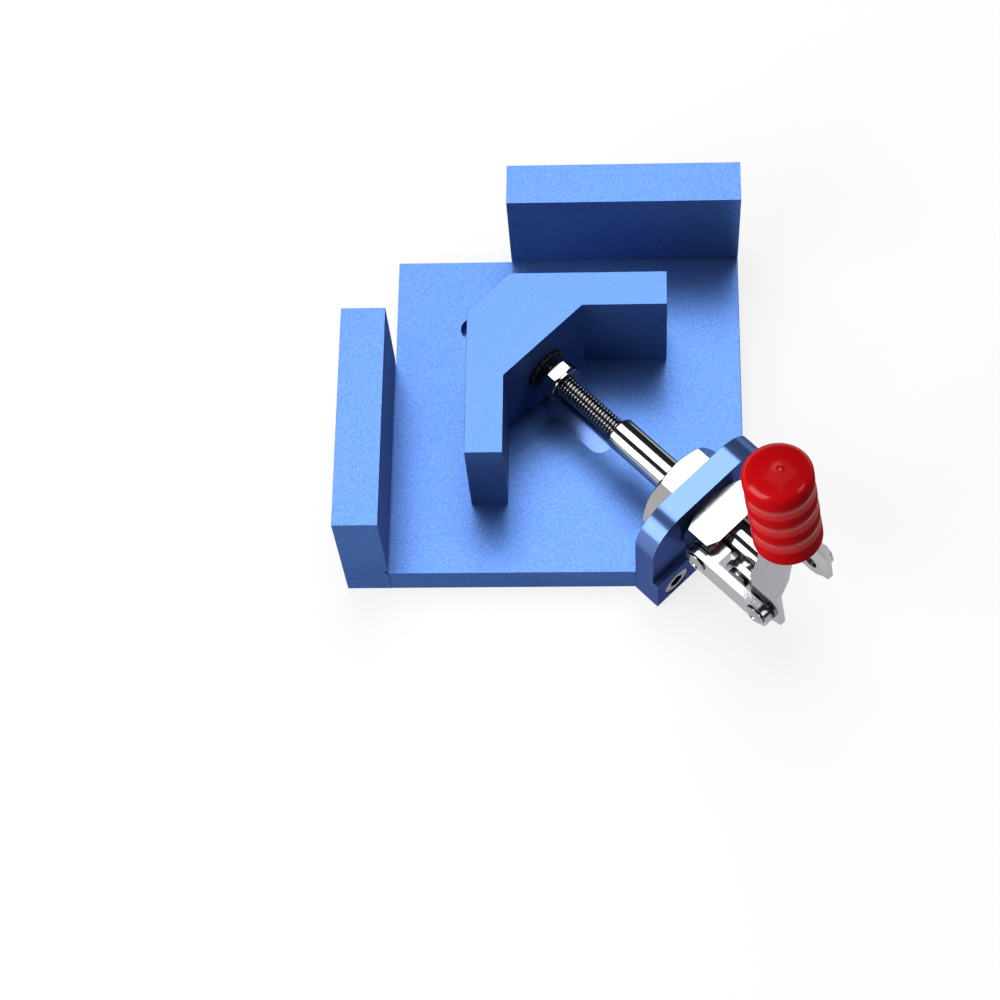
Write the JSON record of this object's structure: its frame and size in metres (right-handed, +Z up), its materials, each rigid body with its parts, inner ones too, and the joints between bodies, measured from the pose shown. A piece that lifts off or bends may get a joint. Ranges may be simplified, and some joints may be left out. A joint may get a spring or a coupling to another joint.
{
  "type": "corner clamp",
  "caption": "Right-angle corner clamp: blue plate with fences and an L-shaped push block driven along the diagonal by a push-pull toggle with a red handle.",
  "frame": {"origin": "centre of the base plate's bottom face", "axes": "+Z up, +X along the rear fence away from the clamped corner, +Y towards the rear fence"},
  "size_m": [0.13, 0.13, 0.0851],
  "materials": {
    "blue_anodised": "bead-blasted and anodised blue",
    "zinc_steel": "bright zinc plate",
    "bright_steel": "ground and plated",
    "black_steel": "black oxide",
    "red_grip": "glossy dipped vinyl"
  },
  "bodies": {
    "base": {"base_plate": "blue_anodised", "left_fence": "blue_anodised", "rear_fence": "blue_anodised", "fence_screws": "zinc_steel", "toggle_bracket": "blue_anodised", "bracket_screws": "zinc_steel", "toggle_body": "zinc_steel", "barrel_nut": "bright_steel", "link_front_rivets": "zinc_steel"},
    "plunger": {"plunger": "bright_steel"},
    "block": {"push_block": "blue_anodised", "guide_key": "zinc_steel", "guide_key_screws": "zinc_steel"},
    "spindle": {"spindle": "zinc_steel", "jam_nut": "bright_steel", "jam_washer": "bright_steel", "retaining_ring": "black_steel"},
    "handle": {"handle_fork": "zinc_steel", "plunger_pin": "bright_steel", "pin_spacers": "zinc_steel", "grip": "red_grip"},
    "links": {"left_link": "zinc_steel", "right_link": "zinc_steel", "link_rear_rivets": "zinc_steel"}
  },
  "joints": [
    {"name": "plunger_slide", "type": "slide", "parent": "base", "child": "plunger", "axis": [0.7071, -0.7071, 0], "range_m": [0, 0.00754]},
    {"name": "handle_swing", "type": "hinge", "parent": "plunger", "child": "handle", "pos_m": [0.05107, -0.05107, 0.0265], "axis": [0.7071, 0.7071, 0], "range_deg": [0, 90]},
    {"name": "link_swing", "type": "hinge", "parent": "base", "child": "links", "pos_m": [0.04322, -0.04322, 0.0265], "axis": [0.7071, 0.7071, 0], "range_deg": [0, 28.5]},
    {"name": "block_adjust", "type": "slide", "parent": "plunger", "child": "block", "axis": [-0.7071, 0.7071, 0], "range_m": [-0.01, 0.012]},
    {"name": "spindle_turn", "type": "hinge", "parent": "block", "child": "spindle", "pos_m": [0, 0, 0.0265], "axis": [-0.7071, 0.7071, 0], "range_deg": [-3610, 4330]}
  ],
  "couplings": [
    {"joint": "handle_swing", "follows": "plunger_slide", "rad_per_m": 208.33},
    {"joint": "link_swing", "follows": "plunger_slide", "rad_per_m": 65.859},
    {"joint": "spindle_turn", "follows": "block_adjust", "rad_per_m": 6283.2}
  ]
}
